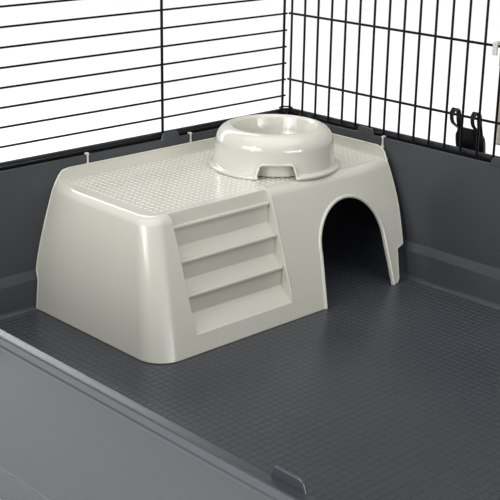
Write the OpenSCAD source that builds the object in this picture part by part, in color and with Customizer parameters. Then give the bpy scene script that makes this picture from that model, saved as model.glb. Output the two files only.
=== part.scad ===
// Indoor rabbit hutch: a moulded tub, hinged wire enclosure, corner shelter with steps, bowl and hay rack.
// X runs along the length, +Y towards the back and +Z up. The origin is the middle of the base.

/* [Enclosure] */
// Distance between the wire planes of the two ends
wire_length = 1076.5; // [1076.5]
// Distance between the wire planes of the front and the back
wire_width = 640; // [600:5:680]
// Height of the rim, from which the wires are spaced
rim_z = 165; // [165]
// Spacing of the horizontal wires of the end panels
row_pitch = 20; // [20]
// Number of rows up to the top wire
rows = 16; // [16]
// Spacing of the upright bars of the long panels
bar_pitch = 21.9; // [21.9]
// Number of upright bars in the back panel
bar_count = 50; // [50]
// Radius of the horizontal wires of the end panels
thin_r = 1.15; // [1.0:0.05:1.2]
// Radius of the bars and cross wires of the long panels and the roof
bar_r = 1.4; // [1.2:0.1:1.4]
// Radius of the posts
post_r = 1.6; // [1.4:0.1:1.6]
// Radius of the edge wires
edge_r = 1.8; // [1.6:0.1:1.8]

/* [Tub] */
// Thickness of the moulded walls
tub_wall = 3; // [2.5:0.5:3.5]
// Height of the floor's upper face
floor_top = 8.5; // [8:0.5:10]
// How far the rim stands out past the wire plane
rim_out = 10; // [9:1:12]
// Radius of the feet under the floor
foot_r = 25; // [15:1:30]

/* [Shelter] */
// Footprint of the shelter along the back wall, from the wire plane
shelter_b = 222; // [215:1:230]
// Footprint of the shelter along the end wall, from the wire plane
shelter_a = 391; // [385:1:400]
// Height of the platform above the floor
platform_h = 131.5; // [131.5]
// Thickness of the shelter's shell
shell_t = 3; // [2.5:0.5:3]

/* [Bowl] */
// Radius of the bowl's foot
bowl_r = 73; // [65:1:75]
// Height of the bowl
bowl_h = 46; // [42:1:50]

/* [Clips] */
// Width of a clip
clip_w = 38; // [36:1:40]
// Distance of the back clips' centres from the ends' wire planes
clip_inset = 267.5; // [267.5]
// Angle that a clip turns between closed and hanging
clip_swing = 190; // [170:5:190]

/* [Hidden] */
$fn = 32;

wx = wire_length / 2;
wy = wire_width / 2;
weld = 0.3;                      // how deep two welded wires sink into each other
bar_step = 2 * bar_r - weld;     // offset between the axes of two crossing bars
post_step = thin_r + post_r - weld;
top_z = rim_z + rows * row_pitch;
corner_axis = 30;                // inset of the tub's corner axis from the wire planes
floor_z = floor_top - rim_z;     // floor, measured from the rim
shelf_z = -4;                    // shelf that the wires stand on, measured from the rim
lip_z = 2;                       // top of the rim's outer lip, measured from the rim
front_lip_z = -0.5;              // the same at the front, where the hinged panel swings in
bottom_wire_z = shelf_z + edge_r + 0.1;
wire_over = 0.6;                 // how far a wire's end stands out past the last wire welded to it
tub_color = "dimgray";
wire_color = [0.03, 0.03, 0.03];
cream = [0.82, 0.81, 0.76];

// Inner face of the tub's wall as [inset from the wire plane, height from the rim], top to bottom
wall_in = [[4.5, shelf_z], [8, -116], [13.5, -125], [17.5, floor_z]];
// Outer face of the same wall, bottom to top
wall_out = [[17.5, floor_z - tub_wall], [14.5, floor_z - tub_wall], [10.5, -127], [5, -118], [1.5, shelf_z]];

// ---------- helpers ----------

module rod_x(x0, x1, y, z, r) {
    translate([x0, y, z]) rotate([0, 90, 0]) cylinder(h = x1 - x0, r = r);
}

module rod_y(y0, y1, x, z, r) {
    translate([x, y0, z]) rotate([-90, 0, 0]) cylinder(h = y1 - y0, r = r);
}

module rod_z(z0, z1, x, y, r) {
    translate([x, y, z0]) cylinder(h = z1 - z0, r = r);
}

// A closed wire ring; its plane is normal to Z
module ring(major, minor) {
    rotate_extrude() translate([major, 0]) circle(r = minor);
}

module rounded_rect(hx, hy, r) {
    square([2 * (hx - r), 2 * hy], center = true);
    square([2 * hx, 2 * (hy - r)], center = true);
    for (sx = [-1, 1], sy = [-1, 1]) translate([sx * (hx - r), sy * (hy - r)]) circle(r = r);
}

// Extrude an outline drawn in the Y-Z plane along X, from x0 to x1
module along_x(x0, x1) {
    translate([x0, 0, 0]) rotate([90, 0, 90]) linear_extrude(height = x1 - x0) children();
}

// Extrude an outline drawn in the X-Z plane along Y, from y0 to y1
module along_y(y0, y1) {
    translate([0, y1, 0]) rotate([90, 0, 0]) linear_extrude(height = y1 - y0) children();
}

function bar_x(i) = (i - (bar_count - 1) / 2) * bar_pitch;
function arc(c, r, a0, a1, n) = [for (i = [0 : n]) let (a = a0 + (a1 - a0) * i / n) c + r * [cos(a), sin(a)]];

// ---------- tub ----------

tab_w = 28;
tab_top = 3.5;
tab_in = 2.6;                    // inset of the tabs' outer faces from the wire planes
tab_t = 2.4;
tabs_back = [131, 321, 538.25, 755.5, 945.5];
tabs_front = [131, 321, 637, 827];
tabs_end = [193.5, 446.5];
lug_t = 4;
lug_gap = 0.5;
pivot_out = 16;
pivot_z = -6;
pin_r = 2;
pin_clear = 0.08;
front_clip_shift = bar_pitch / 2;

module tub_wall_section(sign) {
    polygon([for (p = concat(wall_in, wall_out)) [sign * (-p[0]), rim_z + p[1]]]);
}

module tub_walls() {
    lx = wx - corner_axis;
    ly = wy - corner_axis;
    for (s = [0, 180]) rotate([0, 0, s]) {
        along_x(-lx, lx) translate([wy, 0]) tub_wall_section(1);
        along_y(-ly, ly) translate([wx, 0]) tub_wall_section(1);
    }
    for (sx = [0, 1], sy = [0, 1]) mirror([sx, 0, 0]) mirror([0, sy, 0]) translate([lx, ly, 0])
        rotate_extrude(angle = 90) translate([corner_axis, 0]) tub_wall_section(1);
}

module tub_rim() {
    difference() {
        translate([0, 0, rim_z - 9]) linear_extrude(height = 9 + lip_z) difference() {
            rounded_rect(wx + rim_out, wy + rim_out, 14);
            rounded_rect(wx + rim_out - 3, wy + rim_out - 3, 11);
        }
        translate([1 - wx, -wy - 20, rim_z + front_lip_z]) cube([2 * wx - 2, 18, 10]);
    }
    translate([0, 0, rim_z - 7.5]) linear_extrude(height = 7.5 + shelf_z) difference() {
        rounded_rect(wx + rim_out - 1, wy + rim_out - 1, 13);
        rounded_rect(wx - 3.5, wy - 3.5, 26);
    }
}

// Upright tab that keeps the wires on the shelf; drawn in a vertical plane and centred on its base
module tab_outline() {
    polygon(concat([[-tab_w / 2, rim_z - 6], [tab_w / 2, rim_z - 6]],
        arc([8, rim_z + tab_top - 3], 3, 15, 90, 4), arc([-8, rim_z + tab_top - 3], 3, 90, 165, 4)));
}

module tub_tabs() {
    for (b = tabs_back) along_y(wy - tab_in - tab_t, wy - tab_in) translate([b - wx, 0]) tab_outline();
    for (b = tabs_front) along_y(tab_in - wy, tab_in + tab_t - wy) translate([b - wx, 0]) tab_outline();
    for (a = tabs_end, s = [0, 180]) rotate([0, 0, s])
        along_x(wx - tab_in - tab_t, wx - tab_in) translate([wy - a, 0]) tab_outline();
}

// The pair of lugs that holds one clip; local frame at the pivot, +Y towards the cage
module clip_lugs() {
    for (s = [-1, 1]) translate([s * (clip_w / 2 + lug_gap + lug_t / 2), 0, 0]) rotate([90, 0, 90])
        difference() {
            linear_extrude(height = lug_t, center = true) {
                circle(r = 4);
                translate([0, -4]) square([pivot_out - rim_out + 1.5, 8]);
            }
            cylinder(h = lug_t + 2, r = pin_r + pin_clear, center = true);
        }
}

// Put a clip or its lugs at one of the four places; side is 1 at the back and -1 at the front
module at_clip(hand, side) {
    inset = side > 0 ? clip_inset : clip_inset + front_clip_shift;
    translate([hand * (wx - inset), side * (wy + pivot_out), rim_z + pivot_z])
        rotate([0, 0, side > 0 ? 180 : 0]) children();
}

module tub() {
    color(tub_color) {
        tub_walls();
        tub_rim();
        tub_tabs();
        translate([0, 0, floor_top - tub_wall]) linear_extrude(height = tub_wall)
            rounded_rect(wx - 16, wy - 16, 14);
        for (x = [-440, -220, 0, 220, 440], y = [-230, 0, 230]) translate([x, y, 0])
            cylinder(h = floor_top - 1, r = foot_r);
        for (hand = [-1, 1], side = [-1, 1]) at_clip(hand, side) clip_lugs();
    }
}

// ---------- wire panels ----------

end_post_y = wy - 8.8;
door_post_y = 120.6;
cross_rows = [2, 6, 10, 14];
door_row_low = 3;
door_row_high = 13;

function row_z(k) = rim_z + k * row_pitch;

module back_panel() {
    x_end = bar_x(bar_count - 1) + bar_r + wire_over;
    color(wire_color) {
        for (i = [0 : bar_count - 1]) rod_z(rim_z + bottom_wire_z, top_z, bar_x(i), wy, bar_r);
        for (k = cross_rows) rod_x(-x_end, x_end, wy - bar_step, row_z(k), bar_r);
        rod_x(-x_end, x_end, wy, rim_z + bottom_wire_z, edge_r);
        rod_x(-x_end, x_end, wy, top_z, edge_r);
    }
}

// The wires that both end panels share, without the rows that a door interrupts
module end_wires(full_rows) {
    post_x = wx + post_step;
    for (y = [-end_post_y, -door_post_y, door_post_y, end_post_y])
        rod_z(rim_z + bottom_wire_z - post_r, top_z, post_x, y, post_r);
    for (k = full_rows) rod_y(-end_post_y - 2, end_post_y + 2, wx, row_z(k), thin_r);
    for (z = [rim_z + bottom_wire_z, top_z]) rod_y(-end_post_y - 2, end_post_y + 2, wx, z, edge_r);
}

module left_panel() {
    color(wire_color) mirror([1, 0, 0]) end_wires([for (k = [1 : rows - 1]) k]);
}

module right_panel() {
    color(wire_color) {
        end_wires([for (k = [1 : rows - 1]) if (k <= door_row_low || k >= door_row_high) k]);
        for (k = [door_row_low + 1 : door_row_high - 1]) {
            rod_y(door_post_y - 1, end_post_y + 2, wx, row_z(k), thin_r);
            rod_y(-end_post_y - 2, 1 - door_post_y, wx, row_z(k), thin_r);
        }
    }
}

// ---------- roof and hinged front ----------

roof_z = top_z + 2 * edge_r + 0.4;
front_y = -wy;                       // plane of the front panel when it is closed
fold_gap = bar_r + edge_r + 0.35;    // height of the folded panel's plane above the roof's
hinge_y = front_y - fold_gap;        // the roof's front wire, which the front panel turns about
hinge_drop = bar_r + post_r + 0.4;   // how far the front's top wire hangs below it
front_bars = bar_count - 1;
front_side_x = wx - 8;
front_side_r = 1.15;
front_bottom_z = rim_z + front_lip_z + edge_r + 0.3;
roof_cross_y = [-213, -107, 0, 107, 213];
roof_cross_x = wx - edge_r - 0.3;    // clear of the end panels' top wires

module roof_panel() {
    color(wire_color) {
        for (i = [0 : bar_count - 1]) rod_y(hinge_y, wy, bar_x(i), roof_z, bar_r);
        for (y = roof_cross_y) rod_x(-roof_cross_x, roof_cross_x, y, roof_z - bar_step, bar_r);
        for (y = [hinge_y, wy]) rod_x(-wx - edge_r - wire_over, wx + edge_r + wire_over, y, roof_z, edge_r);
        for (x = [-wx, wx]) rod_y(hinge_y, wy, x, roof_z, edge_r);
    }
}

// The front panel as it hangs when closed
module front_panel_closed() {
    top = roof_z - hinge_drop;
    for (i = [0 : front_bars - 1])
        rod_z(front_bottom_z, top, bar_x(i) + bar_pitch / 2, front_y, bar_r);
    for (x = [-front_side_x, front_side_x]) rod_z(front_bottom_z, top, x, front_y, front_side_r);
    for (k = cross_rows) rod_x(-front_side_x, front_side_x, front_y + bar_step, row_z(k), bar_r);
    x_end = front_side_x + front_side_r + wire_over;
    rod_x(-x_end, x_end, front_y, front_bottom_z, edge_r);
    rod_x(-x_end, x_end, front_y, top, post_r);
}

// Turn the closed front up and over, so that it lies on the roof
module folded_back() {
    translate([0, hinge_y, roof_z]) rotate([-270, 0, 0]) translate([0, -hinge_y, -roof_z]) children();
}

module front_panel() {
    color(wire_color) folded_back() front_panel_closed();
}

front_ring_cells = [-22, -9, 8, 21];
front_ring_minor = 1.1;
front_ring_major = norm([fold_gap, hinge_drop]) + post_r + 0.35 + front_ring_minor;

module front_hinge_rings() {
    color(wire_color) for (i = front_ring_cells) translate([(i + 0.25) * bar_pitch, hinge_y, roof_z])
        rotate([0, 90, 0]) ring(front_ring_major, front_ring_minor);
}

// ---------- rings that join the fixed panels ----------

ring_minor = 1;
pair_gap = 0.3;

// A ring round two parallel wires, given the distance between them and the thicker one's radius
module pair_ring(distance, r) {
    ring(distance / 2 + r + pair_gap + ring_minor, ring_minor);
}

module corner_rings() {
    post = [wx + post_step, end_post_y];
    bar = [bar_x(bar_count - 1), wy];
    mid = (post + bar) / 2;
    for (k = [0.2, 7.5, 14.5]) translate([mid[0], mid[1], row_z(k)]) pair_ring(norm(post - bar), post_r);
}

module corner_rings_right() {
    color(wire_color) corner_rings();
}

module corner_rings_left() {
    color(wire_color) mirror([1, 0, 0]) corner_rings();
}

module roof_rings_back() {
    color(wire_color) for (i = [-20, 0, 20]) translate([i * bar_pitch, wy, (roof_z + top_z) / 2])
        rotate([0, 90, 0]) pair_ring(roof_z - top_z, edge_r);
}

module roof_rings_end() {
    for (y = [-160, 160]) translate([wx, y, (roof_z + top_z) / 2])
        rotate([90, 0, 0]) pair_ring(roof_z - top_z, edge_r);
}

module roof_rings_right() {
    color(wire_color) roof_rings_end();
}

module roof_rings_left() {
    color(wire_color) mirror([1, 0, 0]) roof_rings_end();
}

// ---------- side door ----------

door_gap = 3.8;                                    // distance of the door's uprights from the posts
door_x = wx + post_step + door_gap;                // plane of the door's uprights
door_row_x = door_x + post_step;                   // plane of the door's rows
door_free_y = -door_post_y - door_gap;
door_low_z = row_z(door_row_low);
door_high_z = row_z(door_row_high);
latch_row = 8;

module side_door_rings() {
    color(wire_color) for (k = [4.5, 11.5]) translate([door_x - door_gap / 2, door_post_y, row_z(k)])
        pair_ring(door_gap, post_r);
}

module side_door() {
    color(wire_color) {
        over = post_r + wire_over;
        for (y = [door_free_y, -40, 40, door_post_y]) rod_z(door_low_z, door_high_z, door_x, y, post_r);
        for (k = [door_row_low : door_row_high])
            rod_y(door_free_y - over, door_post_y + 0.3, door_row_x, row_z(k), thin_r);
    }
}

latch_travel = 10;
latch_nose = 9;
latch_len = 24;
latch_end_y = -door_post_y + post_r + latch_travel + 0.7;

module side_door_latch() {
    low = row_z(latch_row);
    mid = low + row_pitch / 2;
    nose_x = door_x - door_gap - post_r - 0.4;
    nose_t = 5.5;
    color("black") difference() {
        union() {
            translate([door_x - 1.55, latch_end_y, low - 6]) cube([6, latch_len, row_pitch + 12]);
            translate([nose_x - nose_t, latch_end_y, mid - 4]) cube([door_x - nose_x + nose_t, 18, 8]);
            translate([nose_x - nose_t, latch_end_y - latch_nose, mid - 4]) cube([nose_t, latch_nose + 1, 8]);
        }
        for (z = [low, low + row_pitch])
            rod_y(latch_end_y - 1, latch_end_y + latch_len + 1, door_row_x, z, thin_r + 0.3);
        translate([door_x + 3.3, latch_end_y + 7, mid - 5]) cube([3, 2, 10]);
        translate([door_x + 3.3, latch_end_y + 12, mid - 5]) cube([3, 2, 10]);
        translate([door_x + 3.3, latch_end_y + 17, mid - 5]) cube([3, 2, 10]);
    }
}

// ---------- clips ----------
// Local frame: pivot at the origin, X along the clip, +Y towards the cage, Z up, drawn closed.

hook_y = 15.5;
hook_z = 44;
hook_out_r = 7.5;
hook_in_r = 4.6;
hook_w = 5.5;
hook_x = 14;
clip_t = 2.8;
wire_y = pivot_out + bar_step;                        // the caught wire, from the pivot
wire_z = 2 * row_pitch - pivot_z;
pass_r = norm([wire_y, wire_z]) + bar_r + 0.35;       // the hook turns clear of the wire outside this radius

// Side view: a leaning plate that ends in a hook over the wire
module clip_side() {
    lean = atan2(hook_y - hook_out_r + clip_t / 2, hook_z);
    rotate(-lean) translate([-clip_t / 2, 0]) square([clip_t, hook_z / cos(lean)]);
    difference() {
        translate([hook_y, hook_z]) difference() {
            circle(r = hook_out_r);
            circle(r = hook_in_r);
        }
        intersection() {
            circle(r = pass_r, $fn = 96);
            translate([hook_y - 4, hook_z - 14]) square([20, 30]);
        }
    }
}

// Front view: a body with bulging sides and two hook strips
module clip_front() {
    half = clip_w / 2;
    polygon(concat([[-half + 2.5, -4], [half - 2.5, -4]], arc([half - 58, 13], 58, -12, 16, 6),
        arc([58 - half, 13], 58, 164, 192, 6)));
    for (s = [-1, 1]) translate([s * hook_x - hook_w / 2, 20]) square([hook_w, 40]);
}

module clip() {
    intersection() {
        along_x(-clip_w / 2, clip_w / 2) clip_side();
        along_y(-10, 40) clip_front();
    }
    rod_x(-clip_w / 2, clip_w / 2, 0, 0, 3.8);
    rod_x(-clip_w / 2 - lug_gap - lug_t, clip_w / 2 + lug_gap + lug_t, 0, 0, pin_r);
}

module back_clip_left() {
    color("black") at_clip(-1, 1) clip();
}

module back_clip_right() {
    color("black") at_clip(1, 1) clip();
}

module front_clip_left() {
    color("black") at_clip(-1, -1) rotate([clip_swing, 0, 0]) clip();
}

module front_clip_right() {
    color("black") at_clip(1, -1) rotate([clip_swing, 0, 0]) clip();
}

// ---------- shelter ----------
// Drawn in the back left corner's frame: X along the back wall from the end's wire plane, -Y along the
// end wall from the back wire plane, Z from the rim.

platform_z = floor_z + platform_h;
front_lean = 44 / platform_h;        // how far the long face leans in for each millimetre of height
end_lean = 26 / platform_h;
edge_round = 8;
lip_top = -14;
wall_gap = 0.7;
arch_a = 98.5;
arch_z = -102;
arch_r = 50;
steps_a = [205, 337];
shelter_foot = floor_z + 0.1;
hook_rise = 12.4;                    // the hooks' underside is then just above the shelf the wires stand on

module in_corner() {
    translate([-wx, wy, rim_z]) children();
}

function face_b(z) = shelter_b - (z - floor_z) * front_lean;
function face_a(z) = shelter_a - (z - floor_z) * end_lean;

// Where the long face ends by the back wall
function back_a(z) = 11 + 8 * pow((platform_z - z) / 91, 2);

// One thin level of the body, drawn in by t and then by inset. The corner between the two faces has radius r;
// the edges by the walls are sharp, and the one by the end wall is drawn back by wall_draw.
module body_level(z, t, inset, r, wall_draw) {
    b = face_b(z) - t - inset;
    a = face_a(z) - t - inset;
    translate([0, 0, z]) linear_extrude(height = 0.05) {
        translate([b - r + t, r - t - a]) circle(r = r - t);
        polygon([[7 + t, -7 - t], [b, -back_a(z)], [b, -a / 2], [7 + t, wall_draw - a]]);
    }
}

// The drafted body, drawn in by t on its faces and its top
module shelter_body(t, foot) {
    top = platform_z - t;
    hull() {
        body_level(foot, t, 0, 28, 0);
        body_level(-110, t, 0, 24, 0);
        body_level(-70, t, 0, 21, 4);
        body_level(top - edge_round, t, 0, 19, 10);
        body_level(top - edge_round * 0.4, t, 1.6, 18, 11);
        body_level(top - 0.05, t, edge_round * 0.75, 14, 12);
    }
}

// What is cut from the long face beside the back wall, below the wall's ledge
module leg_cut() {
    along_x(150, 240) polygon(concat([[10, -117.5], [-29, -117.5], [-36, -148]],
        arc([-44, -148], 8, 0, -90, 4), [[-44, -160], [10, -160]]));
}

// The free space inside the tub's back left corner, kept gap away from the walls
module corner_space(gap, low, high) {
    inner = [for (p = wall_in) [p[0] + gap, p[1]]];
    reach = 460;
    intersection() {
        union() {
            along_y(-reach, -corner_axis) polygon(concat(inner, [[reach, floor_z], [reach, shelf_z]]));
            along_x(corner_axis, reach)
                polygon(concat([for (p = inner) [-p[0], p[1]]], [[-reach, floor_z], [-reach, shelf_z]]));
            translate([corner_axis, -corner_axis, 0]) rotate([0, 0, 90]) rotate_extrude(angle = 90)
                polygon(concat([for (p = inner) [corner_axis - p[0], p[1]]], [[0, floor_z], [0, shelf_z]]));
        }
        translate([0, -reach, low]) cube([reach, reach, high - low]);
    }
}

module arch_outline(grow) {
    translate([-arch_a, arch_z]) circle(r = arch_r + grow, $fn = 64);
    polygon([[-arch_a - arch_r - grow, arch_z], [-arch_a - 59 - grow, floor_z - 1],
             [-arch_a + arch_r + grow, floor_z - 1], [-arch_a + arch_r + grow, arch_z]]);
}

function step_point(z, depth) = [face_b(z) - depth / cos(atan(front_lean)), z];

// Saw-tooth outline of the steps, from the platform down to the sill: noses 6 mm deep, roots 12 mm deep
nosing_z = [-39, -71.5, -104];
root_z = [-59, -90.5, -123];
sill_z = -138.5;
step_line = concat([[172, platform_z]],
    [for (i = [0 : 2], nose = [1, 0]) nose ? step_point(nosing_z[i], 6) : step_point(root_z[i], 12)],
    [step_point(sill_z, 0.5)]);

module steps_plate() {
    low = sill_z - shell_t;
    along_y(-steps_a[1] - shell_t, -steps_a[0] + shell_t) difference() {
        polygon(concat(step_line, [[face_b(low), low], [face_b(low) - 14, low], [160, platform_z - 1]]));
        translate([-shell_t, -1]) polygon(concat(step_line, [[190, low], [140, low], [140, platform_z]]));
    }
}

module steps_recess() {
    along_y(-steps_a[1], -steps_a[0])
        polygon(concat(step_line, [[240, sill_z], [240, platform_z + 1], [172, platform_z + 1]]));
}

module step_cheeks() {
    low = sill_z - shell_t;
    for (a = [steps_a[0] - shell_t, steps_a[1]]) along_y(-a - shell_t, -a)
        polygon([[166, platform_z - 1], [face_b(platform_z) - 6, platform_z - 1], [face_b(-35) - 1, -35],
                 [face_b(low) - 1, low], [face_b(low) - 15, low]]);
}

module shelter_lip() {
    difference() {
        corner_space(wall_gap, platform_z - 2, lip_top);
        corner_space(wall_gap + 2.4, platform_z - 3, lip_top + 1);
        along_x(-1, 30) lip_end(341, 352);
        along_y(-30, 1) mirror([1, 0, 0]) lip_end(163, 174);
    }
}

// What is cut off the lip beyond its sloping end: where it ends at its top and at the platform
module lip_end(top, foot) {
    polygon([[-top, lip_top + 1], [-foot, platform_z - 4], [-500, platform_z - 4], [-500, lip_top + 1]]);
}

// Small hooks that hang over the tub's edge, at a distance from the corner
module edge_hook() {
    translate([5.3, -1.5, lip_top - 3]) cube([1.9, 3, hook_rise + 3]);
    translate([2.3, -1.5, lip_top + hook_rise - 2]) cube([4.9, 3, 2]);
}

module shelter() {
    color(cream) in_corner() {
        intersection() {
            union() {
                difference() {
                    union() {
                        shelter_body(0, shelter_foot);
                        intersection() {
                            shelter_body(-1.8, shelter_foot);
                            along_x(150, 240) difference() {
                                arch_outline(5);
                                arch_outline(0);
                            }
                        }
                    }
                    shelter_body(shell_t, floor_z - 1);
                    translate([-10, -335, floor_z - 1]) cube([32, 340, platform_h + 1 - shell_t]);
                    translate([-10, -40, floor_z - 1]) cube([175, 45, platform_h + 1 - shell_t]);
                    along_x(140, 260) arch_outline(0);
                    leg_cut();
                    steps_recess();
                }
                intersection() {
                    shelter_body(0, shelter_foot);
                    union() {
                        steps_plate();
                        difference() {
                            step_cheeks();
                            steps_recess();
                        }
                    }
                }
            }
            corner_space(wall_gap, shelter_foot, platform_z + 1);
        }
        shelter_lip();
        for (a = [165, 310]) translate([0, -a, 0]) edge_hook();
        translate([159.5, 0, 0]) rotate([0, 0, -90]) edge_hook();
    }
}

// ---------- bowl ----------

bowl_b = 106;
bowl_a = 128;
bowl_lift = 0.4;
notch_w = 40;
notch_h = 15;

module bowl_section() {
    crest = [for (i = [0 : 6]) let (a = 90 * i / 6) [53 + 12 * cos(a), bowl_h - 16 + 16 * sin(a)]];
    under = [for (i = [6 : -1 : 0]) let (a = 90 * i / 6) [53 + 9.4 * cos(a), bowl_h - 16 + 13.2 * sin(a)]];
    polygon(concat([[bowl_r, 0], [bowl_r, 2.5], [bowl_r - 3, 4.5], [67, 18]], crest,
        [[49.5, bowl_h - 3], [45.5, 30], [40, 14], [34, 9.5], [0, 8.5], [0, 6], [35, 7], [42, 13]],
        [[47.5, 29], [50, 39]], under, [[64.3, 18], [67, 5], [bowl_r - 3, 3], [bowl_r - 3, 0]]));
}

module bowl() {
    color(cream) in_corner() translate([bowl_b, -bowl_a, platform_z + bowl_lift]) difference() {
        rotate_extrude($fn = 96) bowl_section();
        for (turn = [-42, 138]) rotate([0, 0, turn]) along_x(55, bowl_r + 2) {
            polygon([[-notch_w / 2 - 2, -1], [notch_w / 2 + 2, -1], [notch_w / 2 - 2, notch_h - 4],
                     [notch_w / 2 - 6, notch_h], [6 - notch_w / 2, notch_h], [2 - notch_w / 2, notch_h - 4]]);
        }
    }
}

// ---------- hay rack ----------
// Hangs outside the back panel; outlines give [distance outside the wire plane, height from the rim].

rack_b = [297.5, 495];
rack_t = 2.5;
rack_row = 6;
rack_hook_w = 5.5;

module rack_outline(t) {
    polygon([[7 + t, 14 + t], [30, 8 + t], [62 - t, 60], [62 - t, 112 + t], [7 + t, 112 + t]]);
}

module rack_hook_outline() {
    z = rack_row * row_pitch + bar_r + 0.35;
    tip = bar_step + bar_r + 0.4;
    translate([7, 100]) square([rack_t, z + rack_t - 100]);
    translate([-tip - rack_t, z]) square([tip + 7 + 2 * rack_t, rack_t]);
    translate([-tip - rack_t, z - 11]) square([rack_t, 12]);
}

module hay_rack() {
    color(cream) translate([-wx, wy, rim_z]) {
        difference() {
            along_x(rack_b[0], rack_b[1]) rack_outline(0);
            along_x(rack_b[0] + rack_t, rack_b[1] - rack_t) rack_outline(rack_t);
            along_x(rack_b[0] + rack_t, rack_b[1] - rack_t) translate([0, 26]) square([14, 100]);
        }
        for (b = [rack_b[0], rack_b[1] - rack_hook_w]) along_x(b, b + rack_hook_w) rack_hook_outline();
    }
}

tub();
back_panel();
left_panel();
right_panel();
roof_panel();
corner_rings_left();
corner_rings_right();
roof_rings_back();
roof_rings_left();
roof_rings_right();
side_door_rings();
front_panel();
front_hinge_rings();
back_clip_left();
back_clip_right();
front_clip_left();
front_clip_right();
side_door();
side_door_latch();
shelter();
bowl();
hay_rack();
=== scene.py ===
import math

import bmesh
import bpy
from mathutils import Matrix, Quaternion, Vector


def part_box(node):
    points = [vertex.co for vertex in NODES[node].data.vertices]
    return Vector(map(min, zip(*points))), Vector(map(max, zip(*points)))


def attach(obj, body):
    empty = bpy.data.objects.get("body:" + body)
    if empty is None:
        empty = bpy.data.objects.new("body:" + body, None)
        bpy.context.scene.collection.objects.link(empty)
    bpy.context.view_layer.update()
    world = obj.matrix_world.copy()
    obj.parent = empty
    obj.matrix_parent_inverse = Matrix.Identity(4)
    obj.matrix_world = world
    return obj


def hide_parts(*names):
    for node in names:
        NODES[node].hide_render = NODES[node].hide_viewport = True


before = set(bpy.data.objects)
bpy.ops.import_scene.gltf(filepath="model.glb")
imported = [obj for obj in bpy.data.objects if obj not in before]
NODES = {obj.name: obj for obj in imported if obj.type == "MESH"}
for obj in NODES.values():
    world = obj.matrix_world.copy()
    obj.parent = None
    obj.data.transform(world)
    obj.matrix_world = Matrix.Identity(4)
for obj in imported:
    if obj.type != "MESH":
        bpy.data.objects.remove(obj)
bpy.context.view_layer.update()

# ---------- frame dimensions ----------
# Lengths in this file are millimetres, turned into metres by the placing matrices below.
MM = 0.001
EDGE_R = 1.8
WIRE_OVER = 0.6
RIM_OUT = 10
FEET_TO_RIM = 165
ROOF_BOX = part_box("roof_panel")
WX = ROOF_BOX[1].x / MM - EDGE_R - WIRE_OVER          # wire plane of the ends
WY = ROOF_BOX[1].y / MM - EDGE_R                      # wire plane of the back
FLOOR_Z = -156.5                                      # heights are measured from the rim
CORNER_AXIS = 30
LEDGE = [(4.5, -4), (8, -116), (13.5, -125), (17.5, FLOOR_Z)]


def placing(x, y, z):
    """Matrix that takes millimetres at a local origin to metres in the frame."""
    return Matrix.Translation((x * MM, y * MM, z * MM)) @ Matrix.Diagonal((MM, MM, MM, 1))


MIDDLE = placing(0, 0, FEET_TO_RIM)
CORNER = placing(-WX, WY, FEET_TO_RIM)                # X along the back wall, -Y along the end wall


# ---------- materials ----------

def plastic(name, color, roughness, grain, grain_scale, variation, subsurface=0.0, coat=0.0, specular=0.5):
    """Moulded plastic: slight colour and gloss variation over a fine mould grain."""
    material = bpy.data.materials.new(name)
    material.use_nodes = True
    tree = material.node_tree
    shader = tree.nodes["Principled BSDF"]
    shader.inputs["Coat Weight"].default_value = coat
    shader.inputs["Coat Roughness"].default_value = 0.08
    shader.inputs["Specular IOR Level"].default_value = specular
    shader.inputs["Subsurface Weight"].default_value = subsurface
    shader.inputs["Subsurface Radius"].default_value = (0.004, 0.003, 0.002)
    shader.inputs["Subsurface Scale"].default_value = 1.0
    place = tree.nodes.new("ShaderNodeTexCoord")
    cloud = tree.nodes.new("ShaderNodeTexNoise")
    cloud.inputs["Scale"].default_value = 9
    cloud.inputs["Detail"].default_value = 4
    tree.links.new(place.outputs["Object"], cloud.inputs["Vector"])
    shade = tree.nodes.new("ShaderNodeValToRGB")
    shade.color_ramp.elements[0].position = 0.3
    shade.color_ramp.elements[1].position = 0.7
    shade.color_ramp.elements[0].color = (*[c * (1 - variation) for c in color], 1)
    shade.color_ramp.elements[1].color = (*[c * (1 + variation) for c in color], 1)
    tree.links.new(cloud.outputs["Fac"], shade.inputs["Fac"])
    tree.links.new(shade.outputs["Color"], shader.inputs["Base Color"])
    gloss = tree.nodes.new("ShaderNodeMapRange")
    gloss.inputs["To Min"].default_value = roughness * 0.85
    gloss.inputs["To Max"].default_value = roughness * 1.15
    tree.links.new(cloud.outputs["Fac"], gloss.inputs["Value"])
    tree.links.new(gloss.outputs["Result"], shader.inputs["Roughness"])
    grains = tree.nodes.new("ShaderNodeTexNoise")
    grains.inputs["Scale"].default_value = grain_scale
    grains.inputs["Detail"].default_value = 3
    tree.links.new(place.outputs["Object"], grains.inputs["Vector"])
    bump = tree.nodes.new("ShaderNodeBump")
    bump.inputs["Strength"].default_value = grain
    bump.inputs["Distance"].default_value = 0.0002
    tree.links.new(grains.outputs["Fac"], bump.inputs["Height"])
    tree.links.new(bump.outputs["Normal"], shader.inputs["Normal"])
    return material


TUB = plastic("tub_plastic", (0.043, 0.047, 0.054), 0.30, 0.12, 900, 0.06, specular=0.5)
CREAM = plastic("cream_plastic", (0.58, 0.57, 0.50), 0.24, 0.05, 300, 0.02, subsurface=0.05, coat=0.3)
GLOSSY_CREAM = plastic("glossy_cream_plastic", (0.60, 0.59, 0.52), 0.16, 0.04, 300, 0.02,
                       subsurface=0.05, coat=0.5)
CLIP = plastic("clip_plastic", (0.004, 0.004, 0.005), 0.26, 0.15, 700, 0.25, specular=0.3)
WIRE = plastic("coated_wire", (0.002, 0.002, 0.002), 0.30, 0.10, 500, 0.30, specular=0.15)


# ---------- mesh helpers ----------

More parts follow.
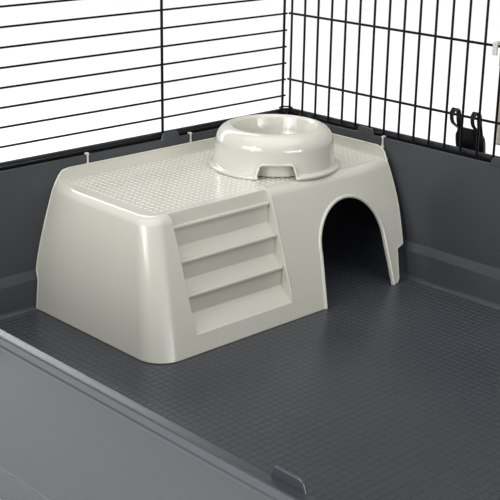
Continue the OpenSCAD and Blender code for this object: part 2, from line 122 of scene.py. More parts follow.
def make(name, bm, place, material, body, sharp=32):
    """Turn a bmesh in millimetres into a placed piece that rides on a body."""
    bmesh.ops.remove_doubles(bm, verts=bm.verts, dist=0.001)
    bmesh.ops.recalc_face_normals(bm, faces=bm.faces)
    mesh = bpy.data.meshes.new(name)
    bm.to_mesh(mesh)
    bm.free()
    mesh.transform(place)
    piece = bpy.data.objects.new(name, mesh)
    bpy.context.scene.collection.objects.link(piece)
    mesh.materials.append(material)
    finish_shading(piece, sharp)
    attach(piece, body)
    return piece


def finish_shading(piece, sharp):
    mesh = piece.data
    for polygon in mesh.polygons:
        polygon.use_smooth = True
    mesh.set_sharp_from_angle(angle=math.radians(sharp))
    normals = piece.modifiers.new("normals", "WEIGHTED_NORMAL")
    normals.keep_sharp = True


def solid(bm):
    """A loose object from a bmesh, for boolean work."""
    bmesh.ops.recalc_face_normals(bm, faces=bm.faces)
    mesh = bpy.data.meshes.new("tool")
    bm.to_mesh(mesh)
    bm.free()
    thing = bpy.data.objects.new("tool", mesh)
    bpy.context.scene.collection.objects.link(thing)
    return thing


def combine(target, tool, operation):
    """Apply an exact boolean to target and remove the tool."""
    step = target.modifiers.new("cut", "BOOLEAN")
    step.operation = operation
    step.object = tool
    step.solver = "EXACT"
    apply_modifiers(target)
    bpy.data.objects.remove(tool)


def apply_modifiers(target):
    graph = bpy.context.evaluated_depsgraph_get()
    graph.update()
    mesh = bpy.data.meshes.new_from_object(target.evaluated_get(graph))
    target.modifiers.clear()
    target.data = mesh


def bevelled(bm, width, segments=3, angle=30):
    """Round a closed mesh's sharp edges."""
    bmesh.ops.remove_doubles(bm, verts=bm.verts, dist=0.001)
    bmesh.ops.recalc_face_normals(bm, faces=bm.faces)
    edges = [e for e in bm.edges if len(e.link_faces) == 2 and e.calc_face_angle() > math.radians(angle)]
    bmesh.ops.bevel(bm, geom=edges, offset=width, segments=segments, profile=0.5, affect="EDGES",
                    clamp_overlap=True)
    return bm


def taken(thing):
    """The bmesh of a loose object, which is removed."""
    bm = bmesh.new()
    bm.from_mesh(thing.data)
    bpy.data.objects.remove(thing)
    return bm


def loft(sections, bm=None):
    """Closed skin through loops of equal length, with a cap at each end."""
    bm = bm or bmesh.new()
    loops = [[bm.verts.new(p) for p in section] for section in sections]
    for low, high in zip(loops, loops[1:]):
        for i in range(len(low)):
            j = (i + 1) % len(low)
            bm.faces.new((low[i], low[j], high[j], high[i]))
    bm.faces.new(list(reversed(loops[0])))
    bm.faces.new(loops[-1])
    return bm


def prism_x(outline, low, high, bm=None):
    """Outline in (y, z), carried along X."""
    return loft([[(x, y, z) for y, z in outline] for x in (low, high)], bm)


def prism_y(outline, low, high, bm=None):
    """Outline in (x, z), carried along Y."""
    return loft([[(x, y, z) for x, z in outline] for y in (low, high)], bm)


def prism_z(outline, low, high):
    """Outline in (x, y), carried along Z."""
    return loft([[(x, y, z) for x, y in outline] for z in (low, high)])


def arc(cx, cy, r, start, end, steps):
    """Points on an arc, angles in degrees."""
    angles = [math.radians(start + (end - start) * i / steps) for i in range(steps + 1)]
    return [(cx + r * math.cos(a), cy + r * math.sin(a)) for a in angles]


def rounded(outline, radii, steps=5):
    """Round the corners of an open or closed outline: radii[i] belongs to point i, 0 keeps it sharp."""
    result = []
    count = len(outline)
    for i, (point, radius) in enumerate(zip(outline, radii)):
        if radius <= 0:
            result.append(tuple(point))
            continue
        here = Vector(point)
        back = (Vector(outline[i - 1]) - here).normalized()
        ahead = (Vector(outline[(i + 1) % count]) - here).normalized()
        half = math.acos(max(-1, min(1, back.dot(ahead)))) / 2
        reach = radius / math.tan(half)
        start = here + back * reach
        end = here + ahead * reach
        centre = here + (back + ahead).normalized() * radius / math.sin(half)
        for k in range(steps + 1):
            blend = (start - centre).lerp(end - centre, k / steps).normalized() * radius
            result.append(tuple(centre + blend))
    return result


def tube(path, radius, sides=10, bm=None, closed=False):
    """Round bar along a path, its ends domed."""
    bm = bm or bmesh.new()
    points = [Vector(p) for p in path]
    if closed:
        points.append(points[0])
    side = None
    rings = []
    for i, point in enumerate(points):
        ahead = points[min(i + 1, len(points) - 1)] - points[max(i - 1, 0)]
        if closed and i in (0, len(points) - 1):
            ahead = points[1] - points[-2]
        ahead.normalize()
        if side is None:
            side = ahead.orthogonal().normalized()
        side = (side - ahead * side.dot(ahead)).normalized()
        other = ahead.cross(side)
        turn = [2 * math.pi * k / sides for k in range(sides)]
        ring = [(side * math.cos(t) + other * math.sin(t)) for t in turn]
        if not closed and i == 0:
            rings.append([point - ahead * radius * 0.7 + v * radius * 0.6 for v in ring])
        rings.append([point + v * radius for v in ring])
        if not closed and i == len(points) - 1:
            rings.append([point + ahead * radius * 0.7 + v * radius * 0.6 for v in ring])
    if closed:
        rings = rings[:-1]
        loops = [[bm.verts.new(p) for p in ring] for ring in rings]
        for n, low in enumerate(loops):
            high = loops[(n + 1) % len(loops)]
            for i in range(sides):
                j = (i + 1) % sides
                bm.faces.new((low[i], low[j], high[j], high[i]))
        return bm
    return loft(rings, bm)


def lathe(profile, steps):
    """Closed profile of (radius, z) turned about Z. Points at radius 0 meet on the axis."""
    bm = bmesh.new()
    rings = []
    for k in range(steps):
        t = 2 * math.pi * k / steps
        rings.append([bm.verts.new((r * math.cos(t), r * math.sin(t), z)) for r, z in profile])
    for k in range(steps):
        low, high = rings[k], rings[(k + 1) % steps]
        for i in range(len(profile)):
            j = (i + 1) % len(profile)
            if profile[i][0] < 1e-6 and profile[j][0] < 1e-6:
                continue
            bm.faces.new((low[i], low[j], high[j], high[i]))
    bmesh.ops.remove_doubles(bm, verts=bm.verts, dist=0.0005)
    return bm


def joined(bm, part, place):
    """Add a bmesh to another through a matrix."""
    part.transform(place)
    mesh = bpy.data.meshes.new("part")
    part.to_mesh(mesh)
    part.free()
    bm.from_mesh(mesh)
    bpy.data.meshes.remove(mesh)


def along(table, value):
    """Straight-line reading of a table of (result, key), keys falling."""
    for (r0, k0), (r1, k1) in zip(table, table[1:]):
        if value >= k1:
            return r0 + (r1 - r0) * (value - k0) / (k1 - k0)
    return table[-1][0]


# ---------- tub ----------

TUB_SECTION = [
    ((17.5, FLOOR_Z), 6), ((13.5, -125), 3), ((8, -116), 3), ((4.5, -4), 1.6), ((-7, -4), 1.0),
    ((-6.6, 2), 1.2), ((-9.1, 2), 1.2), ((-9.1, -6), 0.4), ((-10, -7), 0.35), ((-10, -9), 0.8),
    ((-7, -9), 0.8), ((-6.4, -7.5), 0.4),
    ((1.8, -7.5), 1.5), ((5, -118), 3), ((10.5, -127), 3), ((14.5, FLOOR_Z - 3), 3),
]


def corner_radius(inset):
    """The rim's corners are squarer than the walls'."""
    if inset >= 1.5:
        return CORNER_AXIS - inset
    if inset <= -6:
        return 4 - inset
    return 10 + (inset + 6) * 18.5 / 7.5


def tub_loop(inset, z):
    """The tub's outline at an inset from the wires. The front rim lies a little lower between its corners."""
    hx, hy, r = WX - inset, WY - inset, corner_radius(inset)
    loop = []
    for sx, sy, start in ((1, 1, 0), (-1, 1, 90), (-1, -1, 180), (1, -1, 270)):
        loop += arc(sx * (hx - r), sy * (hy - r), r, start, start + 90, 9)
        if (sx, sy) == (-1, -1):
            loop += [(x, -hy) for x in (40 - WX, 46 - WX, WX - 46, WX - 40)]
    points = []
    for x, y in loop:
        low = 46 - WX <= x <= WX - 46 and y < 0 and z > -4 and inset < 0
        points.append((x, y, z - (z + 4) * 2.5 / 6 if low else z))
    return points


FEET_X, FEET_Y = (-440, -220, 0, 220, 440), (-230, 0, 230)


def tub_skin():
    """Floor, wall and rim as one skin, with round feet under the floor."""
    section = [p for p, _ in TUB_SECTION]
    radii = [r for _, r in TUB_SECTION]
    start, end = (60, FLOOR_Z), (60, FLOOR_Z - 3)
    outline = rounded([start] + section + [end], [0] + radii + [0])[1:-1]
    bm = loft([tub_loop(u, z) for u, z in outline])
    foot = rounded([(0, -165), (25, -165), (27, -159), (0, -159)], [0, 2, 0, 0])
    for x in FEET_X:
        for y in FEET_Y:
            joined(bm, lathe(foot, 40), Matrix.Translation((x, y, 0)))
    return bm


def floor_grid():
    """Raised lines on the floor, square with a pitch of 7.9 mm."""
    bm = bmesh.new()
    pitch, inset, top = 7.9, 24, 0.35
    ridge = [(-1.1, FLOOR_Z - 0.2), (1.1, FLOOR_Z - 0.2), (0.4, FLOOR_Z + top), (-0.4, FLOOR_Z + top)]
    for i in range(-int((WY - inset) / pitch), int((WY - inset) / pitch) + 1):
        prism_x([(i * pitch + s, z) for s, z in ridge], inset - WX, WX - inset, bm)
    for i in range(-int((WX - inset) / pitch), int((WX - inset) / pitch) + 1):
        prism_y([(i * pitch + s, z) for s, z in ridge], inset - WY, WY - inset, bm)
    return bm


TAB_IN, TAB_T, TAB_TOP = 2.6, 2.4, 3.5
TABS_BACK = (131, 321, 538.25, 755.5, 945.5)          # along the back, from the left end's wires
TABS_FRONT = (131, 321, 637, 827)
TABS_END = (193.5, 446.5)                             # along each end, from the back's wires


def tab(bm, place):
    outline = rounded([(-14, -6), (14, -6), (10.5, TAB_TOP), (-10.5, TAB_TOP)], [0, 0, 4, 4])
    joined(bm, bevelled(prism_y(outline, -TAB_T / 2, TAB_T / 2), 1.0, 3), place)


def rim_tabs():
    bm = bmesh.new()
    y = WY - TAB_IN - TAB_T / 2
    x = WX - TAB_IN - TAB_T / 2
    for b in TABS_BACK:
        tab(bm, Matrix.Translation((b - WX, y, 0)))
    for b in TABS_FRONT:
        tab(bm, Matrix.Translation((b - WX, -y, 0)))
    for a in TABS_END:
        tab(bm, Matrix.Translation((-x, WY - a, 0)) @ Matrix.Rotation(math.pi / 2, 4, "Z"))
        tab(bm, Matrix.Translation((x, a - WY, 0)) @ Matrix.Rotation(math.pi / 2, 4, "Z"))
    return bm


tub = make("tub_moulding", tub_skin(), MIDDLE, TUB, "enclosure", 40)
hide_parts("tub")
make("tub_floor_grid", floor_grid(), MIDDLE, TUB, "enclosure", 20)
make("rim_tabs", rim_tabs(), MIDDLE, TUB, "enclosure", 50)

# ---------- clips and their lugs ----------

CLIP_INSET, PIVOT_OUT, PIVOT_Z = 267.5, 16, -6
FRONT_SHIFT = 10.95
HALF_CLIP, LUG_GAP, LUG_T = 19, 0.5, 4
HOOK_X = 13.8                                # hooks clear of the panel's bars
HOOK_Y, HOOK_Z, HOOK_R = 15.1, 44.8, 6.2     # the bend of a hook round its wire


def clip_place(hand, side):
    """Where a closed clip's pivot frame stands: +Y towards the cage."""
    inset = CLIP_INSET + (0 if side > 0 else FRONT_SHIFT)
    spot = Matrix.Translation((hand * (WX - inset), side * (WY + PIVOT_OUT), PIVOT_Z))
    return spot @ Matrix.Rotation(math.pi if side > 0 else 0, 4, "Z")


def clip_lugs():
    bm = bmesh.new()
    reach = PIVOT_OUT - RIM_OUT + 1.5
    outline = arc(0, 0, 4, 90, 270, 10) + [(reach, -4), (reach, 4)]
    for hand in (-1, 1):
        for side in (-1, 1):
            for s in (-1, 1):
                x = s * (HALF_CLIP + LUG_GAP + LUG_T / 2)
                lug = bevelled(prism_x(outline, -LUG_T / 2, LUG_T / 2), 0.6, 2, 50)
                joined(bm, lug, clip_place(hand, side) @ Matrix.Translation((x, 0, 0)))
    return bm


make("clip_lugs", clip_lugs(), MIDDLE, TUB, "enclosure", 40)


def strap(path, half_width, half_thick, x, bm):
    """Flat strip with rounded edges along a path in the Y-Z plane."""
    sections = []
    edge = rounded([(-half_width, -half_thick), (half_width, -half_thick), (half_width, half_thick),
                    (-half_width, half_thick)], [half_thick * 0.7] * 4, 3)
    for i, (y, z) in enumerate(path):
        y0, z0 = path[max(i - 1, 0)]
        y1, z1 = path[min(i + 1, len(path) - 1)]
        ahead = Vector((y1 - y0, z1 - z0)).normalized()
        taper = 0.75 if i == len(path) - 1 else 1
        sections.append([(x + u * taper, y - ahead.y * v * taper, z + ahead.x * v * taper) for u, v in edge])
    return loft(sections, bm)


def lean(z):
    return 8.0 * z / 44


def clip_body():
    bm = bmesh.new()
    wide, tall = 20, 12
    front, back = [], []
    for j in range(tall + 1):
        row_front, row_back = [], []
        for i in range(wide + 1):
            s = 2 * i / wide - 1
            top = 30 - 9 * max(0, (abs(s) - 0.72) / 0.28) ** 2
            z = -1 + (top + 1) * j / tall
            half = HALF_CLIP - 58 + math.sqrt(58 ** 2 - (z - 13) ** 2)
            x = s * half
            dish = 1.1 * (1 - s * s) * math.sin(math.pi * max(0, min(1, z / 26)))
            thick = 1.35 + (0.5 if i in (0, 1, wide - 1, wide) else 0)
            row_front.append(bm.verts.new((x, lean(z) - thick + dish, z)))
            row_back.append(bm.verts.new((x, lean(z) + thick, z)))
        front.append(row_front)
        back.append(row_back)
    for grid in (front, back):
        for j in range(tall):
            for i in range(wide):
                bm.faces.new((grid[j][i], grid[j][i + 1], grid[j + 1][i + 1], grid[j + 1][i]))
    rim = [(0, i) for i in range(wide)] + [(j, wide) for j in range(tall)]
    rim += [(tall, wide - i) for i in range(wide)] + [(tall - j, 0) for j in range(tall)]
    for (j0, i0), (j1, i1) in zip(rim, rim[1:] + rim[:1]):
        bm.faces.new((front[j0][i0], front[j1][i1], back[j1][i1], back[j0][i0]))
    hook = [(lean(18), 18), (lean(28), 28), (7.3, 36), (8.3, 41.5)]
    hook += [(y, z) for y, z in arc(HOOK_Y, HOOK_Z, HOOK_R, 168, 0, 14)]
    tongue = [(21.2, 44.8), (20.5, 40.5), (18.6, 37), (14.6, 33.6), (10.4, 31), (7.4, 28.6)]
    for x in (-HOOK_X, HOOK_X):
        strap(hook, 3.1, 1.0, x, bm)
        strap(tongue, 2.3, 0.95, x, bm)
        tube([(x - 1.8, 17.4, 50.8), (x + 1.8, 17.4, 50.8)], 2.0, 12, bm)
    barrel = rounded([(-HALF_CLIP, 0), (-HALF_CLIP, 3.8), (HALF_CLIP, 3.8), (HALF_CLIP, 0)], [0, 1, 1, 0])
    end = HALF_CLIP + LUG_GAP + LUG_T
    pin = rounded([(-end, 0), (-end, 2), (end, 2), (end, 0)], [0, 0.4, 0.4, 0])
    for outline in (barrel, pin):
        joined(bm, lathe([(r, x) for x, r in outline], 24), Matrix.Rotation(math.pi / 2, 4, "Y"))
    return bm


def clip(name, node, body, hand, side, swing):
    bm = clip_body()
    bm.transform(clip_place(hand, side) @ Matrix.Rotation(math.radians(swing), 4, "X"))
    piece = make(name, bm, MIDDLE, CLIP, body, 45)
    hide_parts(node)


HANGING = 190
clip("clip_back_left", "back_clip_left", "back_left_clip", -1, 1, 0)
clip("clip_back_right", "back_clip_right", "back_right_clip", 1, 1, 0)
clip("clip_front_left", "front_clip_left", "front_left_clip", -1, -1, HANGING)
clip("clip_front_right", "front_clip_right", "front_right_clip", 1, -1, HANGING)

# ---------- shelter ----------
# Drawn in the corner frame: X = b along the back wall, Y = -a along the end wall, Z from the rim.

TOP = -25                    # the platform
BASE_B, BASE_A = 222, 391    # footprint
SHELL = 3
EDGE_ROUND = 8
WALL_GAP = 0.9
ARCH_A, ARCH_Z, ARCH_R = 98.5, -102, 50
STEPS = (205, 337)           # the steps' two ends along the long face
NOSINGS = (-39, -71.5, -104)  # outer corners of the treads
ROOTS = (-59, -90.5, -123)   # inner corners, where a riser meets the tread below it
SILL = -138.5                # the recess's lower edge


def face_b(z):
    return BASE_B - (z - FLOOR_Z) * 44 / 131.5


def face_a(z):
    return BASE_A - (z - FLOOR_Z) * 26 / 131.5


def back_a(z):
    """Where the long face ends by the back wall: it steps back over the tub's ledge."""
    if z > -117:
        return 11 + 8 * ((TOP - z) / 91) ** 2
    if z > -148:
        return 29 + 7 * (-117.5 - z) / 30.5
    return 44 - math.sqrt(max(0, 64 - (-148 - z) ** 2))


def draw_back(z):
    """How far the end face curls in towards the end wall."""
    return 12 * max(0, (z + 110) / 85) ** 1.5


def draw_in(z):
    """How far the long face curls in towards the back wall."""
    return 7 * max(0, (z + 80) / 55) ** 1.5


def wall_edge(z):
    return along(LEDGE, z) + WALL_GAP


def shell_section(z, inset, t):
    b, a = face_b(z) - t - inset, face_a(z) - t - inset
    r = 28 - 9 * (z - FLOOR_Z) / 131.5 - t
    edge = wall_edge(z)
    start = -20 if t else edge
    far = 20 if t else -back_a(z)
    loop = []
    for k in range(9):
        x = start + (75 - start) * k / 9
        share = min(1, (75 - x) / (75 - edge))
        loop.append((x, -(a - draw_back(z) * share ** 2), z))
    loop += [(x, y, z) for x, y in arc(b - r, r - a, r, -90, 0, 14)]
    for k in range(7):
        y = -70 + (far + 70) * k / 6
        share = min(1, (70 + y) / (70 - back_a(z)))
        loop.append((b - draw_in(z) * share ** 2, y, z))
    loop.append((start, 20 if t else -edge, z))
    return loop


def shell_levels(t):
    levels = [(-175, 0)] if t else [(FLOOR_Z + 0.2, 1.1), (FLOOR_Z + 0.5, 0.5)]
    levels += [(z, 0) for z in (-155.2, -154, -151.5, -148, -140, -132, -125, -119.5, -116.5)]
    levels += [(z, 0) for z in range(-112, -36, 8)]
    top = TOP - t
    radius = EDGE_ROUND - t
    for k in range(8):
        turn = math.radians(90 * k / 7)
        levels.append((top - radius + radius * math.sin(turn), radius * (1 - math.cos(turn))))
    return levels


def shell_body(t):
    return loft([shell_section(z, inset, t) for z, inset in shell_levels(t)])


def step_point(z, depth):
    return (face_b(z) - depth * 1.055, z)


STEP_LINE = [(172, TOP)]
for nosing, root in zip(NOSINGS, ROOTS):
    STEP_LINE += [step_point(nosing, 6), step_point(root, 12)]
STEP_LINE.append(step_point(SILL, 0.5))


def steps_tray():
    low = SILL - SHELL
    inner = [(x - 3.2, z - 1) for x, z in STEP_LINE[1:-1]]
    outline = [(face_b(low) - 0.4, low), (face_b(-34) - 0.4, -34), (face_b(-34) - 7, TOP - 0.5),
               (160, TOP - 0.5), (160, TOP - 3)]
    outline += inner + [(face_b(low) - 6, low + 2), (face_b(low) - 6, low)]
    return prism_y(outline, -STEPS[1] - SHELL, -STEPS[0] + SHELL)


def arch_outline(grow):
    r = ARCH_R + grow
    right = [(grow - ARCH_A + ARCH_R, -175)]
    top = arc(-ARCH_A, ARCH_Z, r, 0, 180, 32)
    left = [(-ARCH_A - 62 - grow, -175)]
    return right + top + left


def shelter_shell():
    shell = solid(shell_body(0))
    combine(shell, solid(shell_body(SHELL)), "DIFFERENCE")
    combine(shell, solid(steps_tray()), "UNION")
    recess = STEP_LINE + [(260, SILL), (260, TOP + 5), (172, TOP + 5)]
    combine(shell, solid(prism_y(recess, -STEPS[1], -STEPS[0])), "DIFFERENCE")
    combine(shell, solid(prism_x(arch_outline(0), 140, 260)), "DIFFERENCE")
    return taken(shell)


def lip_end(z, top, foot):
    return top + (foot - top) * (-14 - z) / 11


def lip_path(u, z):
    """The lip's line at an inset from the wires: along the end wall, round the corner, along the back."""
    path = [(u, -min(lip_end(z, 341, 352), face_a(z) - draw_back(z) - 0.4), z)]
    path += [(x, y, z) for x, y in arc(CORNER_AXIS, -CORNER_AXIS, CORNER_AXIS - u, 180, 90, 10)]
    end = face_b(z) - draw_in(z) - 0.6 - 1.3 * max(0, -25 - z)
    path.append((min(lip_end(z, 158, 169), end), -u, z))
    return path


LIP_IN = 0.8


def shelter_lip():
    section = [(along(LEDGE, -38) + LIP_IN, -38), (along(LEDGE, -27) + LIP_IN, -27),
               (along(LEDGE, -14) + LIP_IN, -15)]
    inner = section[2][0]
    section += [(u + 0.4, -14) for u in (inner, inner + 1.6)]
    section += [(inner + 2.4, -15), (inner + 2.9, -23), (inner + 4.4, -24.7), (inner + 4.4, -38)]
    return loft(list(zip(*[lip_path(u, z) for u, z in section])))


def shelter_edging():
    """The bead round the shelter's open edges, over the lip's top, and round the arch."""
    up = [-155, -150, -144, -135, -126, -119.5, -116.5, -112, -100, -88, -76, -64, -52, -42, -34]
    u = along(LEDGE, -14) + LIP_IN + 1.2
    path = [(wall_edge(z) + 0.6, -(face_a(z) - draw_back(z)) + 0.6, z) for z in up]
    path += [(u, -352.5, -27), (u, -348, -20), (u, -343.5, -15.4), (u, -336, -14)]
    path += [(x, y, -14) for x, y in arc(CORNER_AXIS, -CORNER_AXIS, CORNER_AXIS - u, 180, 90, 10)]
    path += [(152, -u, -14), (159, -u - 0.5, -15.4), (164.5, -u - 1.5, -19.5), (169, -u - 3.5, -26)]
    path += [(face_b(z) - draw_in(z) - 1.0, -back_a(z) - 0.6, z) for z in reversed(up)]
    bm = tube(path, 1.35)
    arch = [(y, z) for y, z in arch_outline(1.6) if z > -170]
    ends = [(ARCH_R + 1.6 - ARCH_A, FLOOR_Z + 1.5)] + arch + [(-ARCH_A - 60.5, FLOOR_Z + 1.5)]
    tube([(face_b(z) - 0.2, y, z) for y, z in ends], 2.1, 12, bm)
    return bm


def face_line(foot):
    """The long face in section, from the platform over the rounded edge and down to a height."""
    line = [(face_b(TOP) - 14, TOP), (face_b(TOP) - 9, TOP)]
    for k in range(1, 7):
        turn = math.radians(90 - 15 * k)
        z = TOP - EDGE_ROUND + EDGE_ROUND * math.sin(turn)
        line.append((face_b(z) - EDGE_ROUND * (1 - math.cos(turn)), z))
    return line + [(face_b(z), z) for z in (-50, -75, -100, -125, foot)]


def step_edges():
    """Rounded noses and the bead round the steps' recess."""
    bm = bmesh.new()
    for z in NOSINGS:
        x, _ = step_point(z, 6)
        tube([(x + 0.9, -STEPS[1] + 1.2, z + 0.2), (x + 0.9, -STEPS[0] - 1.8, z + 0.2)], 2.3, 14, bm)
    x, _ = step_point(SILL, 1.2)
    tube([(x, -STEPS[1], SILL - 0.6), (x, -STEPS[0], SILL - 0.6)], 1.4, 12, bm)
    tube([(x - 0.9, 1.4 - STEPS[0], z - 0.5) for x, z in face_line(SILL)], 1.5, 10, bm)
    return bm


def platform_pads():
    """Raised pads over the platform, against slipping."""
    bm = bmesh.new()
    pitch, low, high = 7.25, TOP - 0.1, TOP + 0.5
    for i in range(21):
        for j in range(46):
            b, a = 14.5 + i * pitch, 15 + j * pitch
            if STEPS[0] - 4 < a < STEPS[1] + 4 and b > 160:
                continue
            if b > face_b(TOP) - 12 or a > face_a(TOP) - 16:
                continue
            outer, inner = 3.4, 2.3
            base = [(b + outer, -a), (b, outer - a), (b - outer, -a), (b, -outer - a)]
            crown = [(b + inner, -a), (b, inner - a), (b - inner, -a), (b, -inner - a)]
            loft([[(x, y, low) for x, y in base], [(x, y, high) for x, y in crown]], bm)
    return bm


def edge_hook():
    """A tapered peg whose flat head reaches out over the tub's edge."""
    stem = [(-2.4, -15), (-1.2, -12.6), (-0.8, -10), (-0.8, -5.5), (-1.5, -3), (1.5, -3), (0.8, -5.5),
            (0.8, -10), (1.2, -12.6), (2.4, -15)]
    bm = bevelled(prism_x(stem, 5.3, 6.9), 0.3, 2)
    head = rounded([(2.3, -3.4), (7.2, -3.4), (7.2, -1.6), (2.3, -1.6)], [0.4, 0.4, 0.8, 0.8], 3)
    joined(bm, bevelled(prism_y(head, -1.5, 1.5), 0.4, 2), Matrix.Identity(4))
    return bm


def edge_hooks():
    bm = bmesh.new()
    for a in (165, 310):
        joined(bm, edge_hook(), Matrix.Translation((0, -a, 0)))
    joined(bm, edge_hook(), Matrix.Translation((159.5, 0, 0)) @ Matrix.Rotation(-math.pi / 2, 4, "Z"))
    return bm


shell = make("shelter_shell", shelter_shell(), CORNER, CREAM, "shelter_unit", 30)
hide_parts("shelter")
make("shelter_lip", shelter_lip(), CORNER, CREAM, "shelter_unit", 40)
make("shelter_edging", shelter_edging(), CORNER, CREAM, "shelter_unit", 60)
make("step_edges", step_edges(), CORNER, CREAM, "shelter_unit", 60)
make("platform_pads", platform_pads(), CORNER, CREAM, "shelter_unit", 20)
make("shelter_hooks", edge_hooks(), CORNER, CREAM, "shelter_unit", 40)

# ---------- bowl ----------

BOWL_B, BOWL_A, BOWL_LIFT, BOWL_H = 106, 128, 0.4, 46
BOWL = CORNER @ Matrix.Translation((BOWL_B, -BOWL_A, TOP + BOWL_LIFT))
NOTCHES = (-42, 138)
NOTCH_W, NOTCH_H = 40, 15


def bowl_outer(z):
    """Outer radius of the bowl's side at a height."""
    return 68 - 2.2 * (z - 4.5) / 21.5


def bowl_section():
    outer = rounded([(70, 0), (73, 0), (73, 2.8), (71.6, 3.6), (68, 4.6), (65.8, 26)],
                    [0, 0.8, 1.0, 0.5, 1.2, 0], 4)
    crest = [(49 + 16.8 * math.cos(t), BOWL_H - 19.5 + 19 * math.sin(t))
             for t in [math.radians(90 * k / 18) for k in range(1, 19)]]
    inner = rounded([(49, BOWL_H - 0.5), (46.2, BOWL_H - 2.6), (43, 28), (38.5, 13.5), (31, 9), (0, 8.4)],
                    [0, 2, 20, 8, 10, 0], 6)[1:]
    under = [(0, 6), (33, 6.8), (40.6, 12.5), (45.2, 28), (48, BOWL_H - 6), (50.5, BOWL_H - 4)]
    under += [(57.5, BOWL_H - 8), (61.2, 32), (62.6, 26), (64.6, 7), (69, 3)]
    return outer + crest + inner + under


def bowl_body():
    body = solid(lathe(bowl_section(), 128))
    half = NOTCH_W / 2
    for turn in NOTCHES:
        outline = rounded([(-half - 2, -3), (half + 2, -3), (half - 3, NOTCH_H), (3 - half, NOTCH_H)],
                          [0, 0, 5, 5])
        cut = prism_x(outline, 52, 80)
        cut.transform(Matrix.Rotation(math.radians(turn), 4, "Z"))
        combine(body, solid(cut), "DIFFERENCE")
    return taken(body)


def notch_beads():
    """The raised border of each grip notch, and the skirt behind it."""
    bm = bmesh.new()
    half = NOTCH_W / 2
    for turn in NOTCHES:
        skirt = arc(0, 0, 57.5, -24, 24, 12) + arc(0, 0, 55.5, 24, -24, 12)
        joined(bm, prism_z(skirt, 1, 33), Matrix.Rotation(math.radians(turn), 4, "Z"))
        outline = rounded([(-half - 5, 1.6), (-half - 2.6, 2.2), (2 - half, NOTCH_H + 1),
                           (half - 2, NOTCH_H + 1), (half + 2.6, 2.2), (half + 5, 1.6)], [0, 2, 5, 5, 2, 0])
        path = []
        for s, z in outline:
            r = bowl_outer(max(z, 4.5)) + 0.3 + (4.5 * max(0, 1 - (z - 1.6) / 3.5))
            path.append((math.sqrt(r * r - s * s), s, z))
        bead = tube(path, 1.5, 10)
        joined(bm, bead, Matrix.Rotation(math.radians(turn), 4, "Z"))
    return bm


bowl = make("bowl_shell", bowl_body(), BOWL, GLOSSY_CREAM, "bowl_unit", 30)
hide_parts("bowl")
make("bowl_beads", notch_beads(), BOWL, GLOSSY_CREAM, "bowl_unit", 60)

# ---------- hay rack ----------

RACK_B, RACK_T, RACK_TOP, RACK_HOOK_Z = (300.5, 495), 2.5, 112, 121.75


def rack_outline(t):
    """The rack's section: its outside at 0, its hollow at a wall's thickness, which is open at the top."""
    top = RACK_TOP + (5 if t else 0)
    return [(7 + t, 14 + t), (30, 8 + t), (62 - t, 60), (62 - t, top), (7 + t, top)]


def rack_body():
    low, high = RACK_B
    outer = bevelled(prism_x(rounded(rack_outline(0), [3, 8, 14, 0, 0], 6), low, high), 2.4, 3, 50)
    rack = solid(outer)
    inner = prism_x(rounded(rack_outline(RACK_T), [2, 6, 12, 0, 0], 6), low + RACK_T, high - RACK_T)
    combine(rack, solid(inner), "DIFFERENCE")
    combine(rack, solid(prism_x([(-1, 26), (14, 26), (14, 130), (-1, 130)], low + RACK_T, high - RACK_T)),
            "DIFFERENCE")
    return taken(rack)


def rack_details():
    """Rim bead, ribs down the face and the two hooks."""
    bm = bmesh.new()
    low, high = RACK_B
    rim = [(low + 1.2, 13), (low + 1.2, 60.2), (high - 1.2, 60.2), (high - 1.2, 13)]
    tube([(x, y, RACK_TOP) for x, y in rim], 1.6, 10, bm)
    for i in range(9):
        x = low + 18.5 + i * 20
        tube([(x, 60.8, 106), (x, 60.8, 62), (x, 46, 36), (x, 31, 12)], 1.1, 8, bm)
    z = RACK_HOOK_Z
    hook = rounded([(7, 98), (9.5, 98), (9.5, z + 2.5), (-6.8, z + 2.5), (-6.8, z - 11), (-4.4, z - 11),
                    (-4.4, z), (7, z)], [0, 0, 1.6, 1.6, 0.8, 0.8, 0.8, 0.5], 4)
    for b in (low, high - 5.5):
        joined(bm, bevelled(prism_x(hook, b, b + 5.5), 0.4, 2), Matrix.Identity(4))
    return bm


rack = make("hay_rack_shell", rack_body(), CORNER, CREAM, "hay_rack_unit", 30)
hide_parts("hay_rack")
make("hay_rack_details", rack_details(), CORNER, CREAM, "hay_rack_unit", 50)

# ---------- wires and latch keep their CAD solids ----------

for name, node in NODES.items():
    if node.hide_render:
        continue
    node.data.materials.clear()
    node.data.materials.append(CLIP if name == "side_door_latch" else WIRE)


def rim_loops():
    """Small wire eyes that hold the fixed panels' bottom wires at the corners."""
    bm = bmesh.new()
    height = -4 + EDGE_R + 1.6
    for sx in (-1, 1):
        for reach in (14, 44):
            spots = [(sx * (WX - reach), WY, 0), (sx * WX, WY - reach, 90), (sx * WX, reach - WY, 90)]
            for x, y, turn in spots:
                ring = [(0, dy, dz) for dy, dz in arc(0, 0, 2.9, 0, 337.5, 15)]
                spot = Matrix.Translation((x, y, height)) @ Matrix.Rotation(math.radians(turn), 4, "Z")
                joined(bm, tube(ring, 0.8, 8, None, True), spot)
    return bm


make("rim_loops", rim_loops(), MIDDLE, WIRE, "enclosure", 60)

# ---------- camera, floor and light ----------

CAMERA_AT = Vector((0.48922, -0.71813, 0.48615))
YAW, PITCH, ROLL = -0.811144, 0.333165, 0.0156855
LENS = 86.09


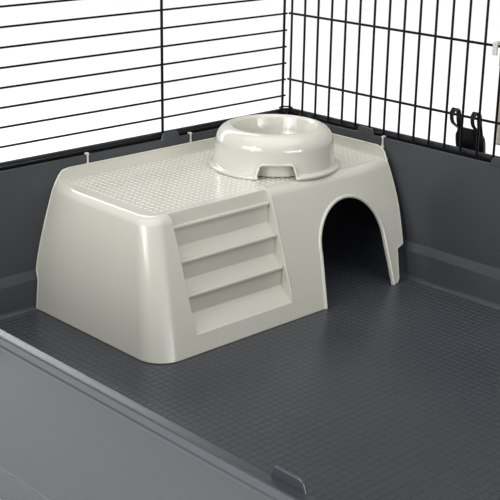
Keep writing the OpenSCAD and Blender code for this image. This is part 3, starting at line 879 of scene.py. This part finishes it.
def add_camera():
    data = bpy.data.cameras.new("camera")
    camera = bpy.data.objects.new("camera", data)
    bpy.context.scene.collection.objects.link(camera)
    data.sensor_width = 36
    data.lens = LENS
    ahead = Vector((math.sin(YAW) * math.cos(PITCH), math.cos(YAW) * math.cos(PITCH), -math.sin(PITCH)))
    level = Vector((math.cos(YAW), -math.sin(YAW), 0))
    above = level.cross(ahead)
    side = math.cos(ROLL) * level + math.sin(ROLL) * above
    top = math.cos(ROLL) * above - math.sin(ROLL) * level
    turn = Matrix((side, top, -ahead)).transposed().to_4x4()
    camera.matrix_world = Matrix.Translation(CAMERA_AT) @ turn
    bpy.context.scene.camera = camera


def add_floor():
    bm = bmesh.new()
    bmesh.ops.create_grid(bm, x_segments=1, y_segments=1, size=7)
    mesh = bpy.data.meshes.new("floor")
    bm.to_mesh(mesh)
    bm.free()
    floor = bpy.data.objects.new("floor", mesh)
    bpy.context.scene.collection.objects.link(floor)
    mesh.materials.append(plastic("pale_floor", (0.90, 0.90, 0.90), 0.6, 0.02, 40, 0.01))


def add_light(name, at, to, size, power, roll=0):
    data = bpy.data.lights.new(name, "AREA")
    data.shape = "RECTANGLE"
    data.size, data.size_y = size
    data.energy = power
    light = bpy.data.objects.new(name, data)
    bpy.context.scene.collection.objects.link(light)
    light.visible_camera = False
    light.location = at
    aim = (Vector(to) - Vector(at)).to_track_quat("-Z", "Y")
    light.rotation_euler = (aim @ Quaternion((0, 0, 1), math.radians(roll))).to_euler()


def add_sun(toward, strength, spread):
    data = bpy.data.lights.new("overhead", "SUN")
    data.energy = strength
    data.angle = math.radians(spread)
    sun = bpy.data.objects.new("overhead", data)
    bpy.context.scene.collection.objects.link(sun)
    sun.rotation_euler = Vector(toward).to_track_quat("-Z", "Y").to_euler()


def add_world(strength):
    world = bpy.data.worlds.new("studio")
    bpy.context.scene.world = world
    world.use_nodes = True
    background = world.node_tree.nodes["Background"]
    background.inputs["Color"].default_value = (1, 1, 1, 1)
    background.inputs["Strength"].default_value = strength


add_camera()
add_floor()
add_world(0.42)
add_sun((-0.18, 0.26, -0.95), 2.5, 80)
add_light("low_side", (2.3, -0.2, 0.44), (-0.3, -0.1, 0.1), (1.6, 0.4), 24)
add_light("low_front", (-0.4, -2.0, 0.75), (-0.3, 0.0, 0.1), (1.6, 0.7), 18)
add_light("strip", (-0.30, -1.5, 0.60), (-0.35, 0.0, 0.12), (0.08, 0.8), 6)
add_light("rim_line", (-1.4, 0.22, 0.64), (-0.2, -0.33, 0.165), (1.3, 0.16), 7, 135)
bpy.context.scene.view_settings.view_transform = "Standard"
